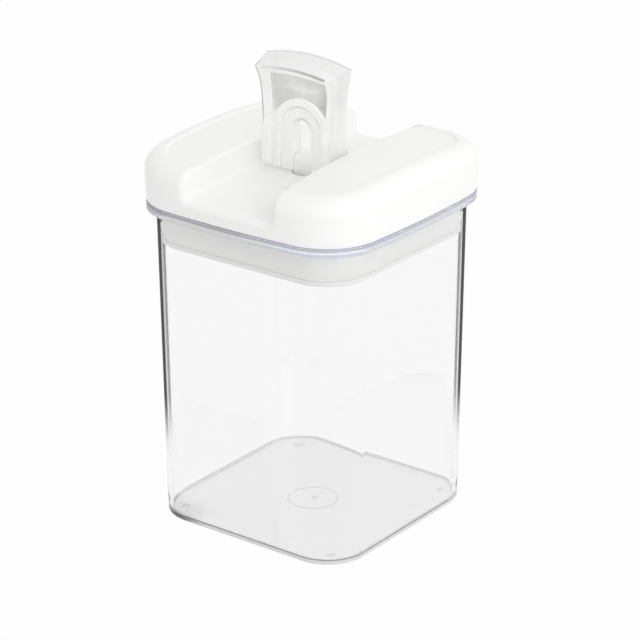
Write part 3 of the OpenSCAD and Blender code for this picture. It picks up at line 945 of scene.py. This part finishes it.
def channel():
    """The channel's crowned floor with its fillets, its lips and the hole for the post."""
    rows, first = channel_rows()
    count = len(rows[0])
    left = (count - HOLE_CELLS) // 2
    points = [point for row in rows for point in row]
    faces = []
    for j in range(len(rows) - 1):
        for i in range(count - 1):
            in_hole = first <= j < first + HOLE_CELLS and left <= i < left + HOLE_CELLS
            if not in_hole:
                faces.append((j * count + i, j * count + i + 1, (j + 1) * count + i + 1, (j + 1) * count + i))
    cells = range(HOLE_CELLS)
    edge = [first * count + left + k for k in cells]
    edge += [(first + k) * count + left + HOLE_CELLS for k in cells]
    edge += [(first + HOLE_CELLS) * count + left + HOLE_CELLS - k for k in cells]
    edge += [(first + HOLE_CELLS - k) * count + left for k in cells]
    add_hole(points, faces, edge)
    return points, faces


def make_cover(material):
    """The white cover of the lid, in one piece with its snap beads."""
    shapes = [skirt(), mirrored(mouth_flank()), mirrored(ridge()), channel()]
    shapes += [snap_bead(quarter) for quarter in range(4)]
    piece = solid("white_lid_cover", joined(shapes), "lid")
    dress(piece, material)
    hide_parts("lid_cover")


# ---------------------------------------------------------------- seal band, return spring and lever


def make_band(material):
    """The barrel-shaped seal band, built once to the seal ring part's size; the plate squeezes the real band
    as it rises.
    """
    inner = 16.55
    outer = 18.3
    barrel_r = 16.0
    steps = 10
    half = (band_high.z - band_low.z) / 2
    middle = (band_high.z + band_low.z) / 2
    turn = math.degrees(math.asin(half / barrel_r))
    section = [(inner, band_low.z)] + arc((outer - barrel_r, middle), barrel_r, -turn, turn, steps)
    section += [(inner, band_high.z), (inner, band_low.z)]
    piece = solid("seal_band", between_rings(level_rings(square_levels(section))), "lid")
    sharp_edges(piece, 40)
    dress(piece, material)
    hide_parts("seal_ring")
    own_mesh(piece)


def make_spring(material):
    """The coil spring round the post."""
    turns = 5.5
    wire_r = 0.5
    sides = 12
    turn_steps = 32
    coil_r = (spring_high.x - spring_low.x) / 2 - wire_r
    centre_y = (spring_high.y + spring_low.y) / 2
    low = spring_low.z + wire_r
    rise = spring_high.z - spring_low.z - 2 * wire_r
    count = int(turns * turn_steps)
    rings = []
    for k in range(count + 1):
        turn = 2 * math.pi * k / turn_steps
        height = low + rise * k / count
        ring = []
        for r, z in arc((coil_r, height), wire_r, 0, 360, sides)[:-1]:
            ring.append((r * math.cos(turn), centre_y + r * math.sin(turn), z))
        rings.append(ring)
    piece = solid("coil_spring", between_rings(rings, capped=True), "lid")
    dress(piece, material)
    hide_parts("return_spring")
    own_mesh(piece)


def round_edges(piece):
    """Joins the facets of a piece's flat faces and rounds the edges between those faces."""
    weld = piece.modifiers.new("weld", "WELD")
    weld.merge_threshold = 0.01 * MM
    flat = piece.modifiers.new("flat", "DECIMATE")
    flat.decimate_type = "DISSOLVE"
    flat.angle_limit = math.radians(1.5)
    bevel = piece.modifiers.new("bevel", "BEVEL")
    bevel.width = 0.3 * MM
    bevel.segments = 3
    bevel.limit_method = "ANGLE"
    bevel.angle_limit = math.radians(25)
    bevel.harden_normals = True


# ---------------------------------------------------------------- floor, light and camera

def seen_directly(graph):
    """A mask that is 1 for what the camera sees, also by way of glass or gloss, and 0 for light on things."""
    path = graph.add("LightPath")
    seen = graph.larger(path.outputs["Is Camera Ray"], path.outputs["Is Glossy Ray"])
    return graph.larger(seen, path.outputs["Is Transmission Ray"])


def make_floor():
    """A white floor that glows almost white where it is seen and keeps a soft shadow."""
    half = 6.0
    glow_share = 0.94
    corners = [(-half, -half, 0), (half, -half, 0), (half, half, 0), (-half, half, 0)]
    mesh = bpy.data.meshes.new("floor")
    mesh.from_pydata(corners, [], [(0, 1, 2, 3)])
    floor = bpy.data.objects.new("floor", mesh)
    bpy.context.scene.collection.objects.link(floor)
    material, graph, shader = new_material("white_floor", Base_Color=(0.9, 0.9, 0.9, 1), Roughness=1)
    glow = graph.add("Emission")
    share = graph.times(seen_directly(graph), glow_share)
    graph.show(graph.mix_shaders(share, shader.outputs["BSDF"], glow.outputs["Emission"]))
    dress(floor, material)


def make_world():
    """Light from all round, fainter from the left. What is seen of it is almost white."""
    right_strength = 0.89
    left_strength = 0.74
    seen_strength = 0.985
    world = bpy.data.worlds.new("studio")
    bpy.context.scene.world = world
    world.use_nodes = True
    graph = Graph(world)
    where = graph.add("TexCoord")
    direction = graph.add("SeparateXYZ", Vector=where.outputs["Generated"])
    to_left = graph.rise(direction.outputs["X"], 0.1, -0.9)
    dome = graph.ramp(to_left, (0.0, right_strength), (1.0, left_strength))
    strength = graph.larger(dome, graph.times(seen_directly(graph), seen_strength))
    graph.fill(graph.nodes["Background"], Color=(1, 1, 1, 1), Strength=strength)


def make_lamp():
    """A soft square lamp on the right, aimed at the canister."""
    aim = Vector((0, 0, 0.1))
    lamp = bpy.data.lights.new("soft_box", "AREA")
    lamp.shape = "SQUARE"
    lamp.size = 0.9
    lamp.energy = 4.2
    holder = bpy.data.objects.new("soft_box", lamp)
    holder.location = (1.15, -0.3, 0.85)
    holder.rotation_euler = (aim - holder.location).to_track_quat("-Z", "Y").to_euler()
    bpy.context.scene.collection.objects.link(holder)


def make_camera():
    """The camera that was fitted to the photo's outlines, with its slight roll."""
    aim = Vector((0.000576, 0.004192, 0.082281))
    roll = math.radians(-0.17)
    camera = bpy.data.cameras.new("camera")
    camera.sensor_width = 36
    camera.lens = 159.84
    camera.clip_start = 0.05
    camera.clip_end = 20
    holder = bpy.data.objects.new("camera", camera)
    holder.location = (0.666085, -0.872584, 0.534403)
    turn = (aim - holder.location).to_track_quat("-Z", "Y")
    holder.rotation_mode = "QUATERNION"
    holder.rotation_quaternion = turn @ Quaternion((0, 0, 1), roll)
    bpy.context.scene.collection.objects.link(holder)
    bpy.context.scene.camera = holder


# ---------------------------------------------------------------- the scene

clear = canister_plastic()
lever_clear = lever_plastic()
white = moulded_plastic("white_plastic", (0.94, 0.94, 0.932), 0.35)
plug_white = moulded_plastic("plug_plastic", (0.93, 0.93, 0.922), 0.4)
silicone = moulded_plastic("silicone", (0.92, 0.92, 0.912), 0.5)
steel = drawn_steel()
make_canister(clear)
make_cover(white)
make_band(silicone)
make_spring(steel)
dress(nodes["lid_liner"], plug_white)
dress(nodes["seal_plate"], plug_white)
dress(nodes["hinge_pin"], steel)
dress(nodes["lever"], lever_clear)
round_edges(nodes["lever"])
make_floor()
make_world()
make_lamp()
make_camera()
bpy.context.scene.view_settings.view_transform = "Standard"
